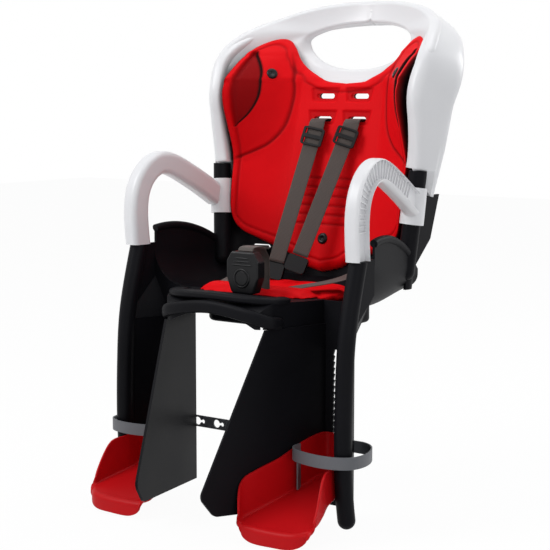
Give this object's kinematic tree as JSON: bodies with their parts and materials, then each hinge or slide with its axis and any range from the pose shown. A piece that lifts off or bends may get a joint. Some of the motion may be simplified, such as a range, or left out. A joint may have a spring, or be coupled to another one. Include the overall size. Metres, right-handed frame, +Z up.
{
  "type": "child bike seat",
  "caption": "Rear-mounted child bicycle seat with moulded shell, head frame with hand hole, open arms, leg guards, sliding footrests, foam pads and harness.",
  "frame": {"origin": "centre of the mounting housing's underside, on the plane of symmetry of the shell", "axes": "+Z up, the seat faces -Y, +X is to the right of a viewer who faces the seat"},
  "size_m": [0.462, 0.568, 0.781],
  "materials": {
    "shell_black": "satin moulded plastic",
    "frame_white": "glossy moulded plastic",
    "pad_red": "moulded foam with a fabric skin",
    "footrest_red": "satin moulded plastic",
    "webbing": "woven webbing",
    "trim_black": "satin moulded plastic",
    "button_black": "glossy moulded plastic",
    "band_rubber": "soft rubber",
    "screw_steel": "zinc plated"
  },
  "bodies": {
    "seat": {"seat_shell": "shell_black", "mount_housing": "shell_black", "housing_screws": "screw_steel", "head_frame": "frame_white", "back_pad": "pad_red", "seat_pad": "pad_red", "pad_pins": "trim_black", "strap_keeper": "trim_black", "crotch_strap": "webbing", "buckle_body": "trim_black", "leg_guard_left": "shell_black", "arm_left": "frame_white", "shoulder_strap_left": "webbing", "lap_strap_left": "webbing", "strap_slider_left": "trim_black", "tongue_left": "trim_black", "leg_guard_right": "shell_black", "arm_right": "frame_white", "shoulder_strap_right": "webbing", "lap_strap_right": "webbing", "strap_slider_right": "trim_black", "tongue_right": "trim_black"},
    "buckle_button": {"buckle_button": "button_black"},
    "footrest_left": {"footrest_left": "footrest_red", "catch_left": "trim_black", "foot_band_left": "band_rubber"},
    "footrest_right": {"footrest_right": "footrest_red", "catch_right": "trim_black", "foot_band_right": "band_rubber"}
  },
  "joints": [
    {"name": "footrest_left_slide", "type": "slide", "parent": "seat", "child": "footrest_left", "axis": [0, 0, 1], "range_m": [0, 0.09]},
    {"name": "footrest_right_slide", "type": "slide", "parent": "seat", "child": "footrest_right", "axis": [0, 0, 1], "range_m": [0, 0.09]},
    {"name": "buckle_press", "type": "slide", "parent": "seat", "child": "buckle_button", "axis": [0, 1, 0], "range_m": [0, 0.003], "stiffness_N_per_m": 600, "springref_m": -0.002}
  ]
}
